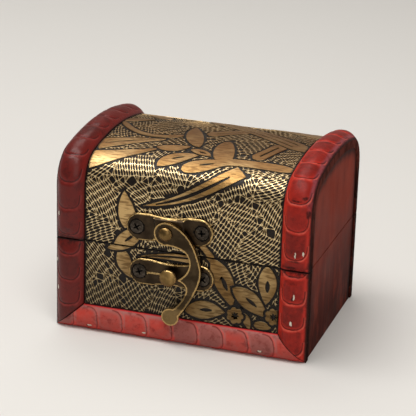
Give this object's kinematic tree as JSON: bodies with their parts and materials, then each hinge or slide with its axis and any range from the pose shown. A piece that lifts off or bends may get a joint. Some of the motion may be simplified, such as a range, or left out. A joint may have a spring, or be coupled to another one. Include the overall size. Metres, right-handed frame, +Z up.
{
  "type": "treasure chest box",
  "caption": "Small treasure chest box with an arched lid, scaled leather bindings, embossed gold panels, back hinges and a swinging hook latch.",
  "frame": {"origin": "middle of the underside, on the face that the chest stands on", "axes": "+X to the right along the front as a viewer in front of it sees it, +Y from front to back, +Z up"},
  "size_m": [0.08, 0.0635, 0.0603],
  "materials": {
    "board": "dark stained board, mostly hidden",
    "painted_end_board": "smooth dark red satin paint with faint upright streaks",
    "scaled_binding": "glossy crimson imitation reptile leather, black in the creases, chipped in places",
    "embossed_skin": "embossed sheet, worn gold on black-brown, raised ornament over a fine net",
    "lining_cloth": "matt black flocked lining",
    "latch_bronze": "antique bronze plating, dark in the hollows, brassy on worn edges",
    "stud_brass": "polished antique brass heads",
    "hinge_brass": "antique brass plated sheet",
    "blackened_screw": "blackened steel heads, worn bright on the rims"
  },
  "bodies": {
    "base": {"base_left_end": "painted_end_board", "base_right_end": "painted_end_board", "base_front_board": "board", "base_back_board": "board", "base_floor": "board", "base_lining": "lining_cloth", "base_front_skin": "embossed_skin", "base_back_skin": "embossed_skin", "base_front_right_binding": "scaled_binding", "base_front_left_binding": "scaled_binding", "base_back_right_binding": "scaled_binding", "base_back_left_binding": "scaled_binding", "base_front_foot_binding": "scaled_binding", "base_back_foot_binding": "scaled_binding", "keeper_plate": "latch_bronze", "keeper_plate_screws": "blackened_screw", "keeper_post": "stud_brass", "right_hinge_base_leaf": "hinge_brass", "left_hinge_base_leaf": "hinge_brass", "right_hinge_pin": "hinge_brass", "left_hinge_pin": "hinge_brass", "hinge_base_screws": "blackened_screw"},
    "lid": {"lid_right_end": "painted_end_board", "lid_left_end": "painted_end_board", "lid_front_board": "board", "lid_back_board": "board", "lid_top_panel": "board", "lid_lining": "lining_cloth", "lid_skin": "embossed_skin", "lid_right_binding": "scaled_binding", "lid_left_binding": "scaled_binding", "latch_plate": "latch_bronze", "latch_plate_screws": "blackened_screw", "latch_pivot_rivet": "stud_brass", "right_hinge_lid_leaf": "hinge_brass", "left_hinge_lid_leaf": "hinge_brass", "hinge_lid_screws": "blackened_screw"},
    "hook": {"latch_hook": "latch_bronze"}
  },
  "joints": [
    {"name": "lid_hinge", "type": "hinge", "parent": "base", "child": "lid", "pos_m": [0, 0.0295, 0.02875], "axis": [-1, 0, 0], "range_deg": [0, 105]},
    {"name": "hook_swing", "type": "hinge", "parent": "lid", "child": "hook", "pos_m": [-0.0041, -0.028, 0.0353], "axis": [0, -1, 0], "range_deg": [-9, 100]}
  ]
}
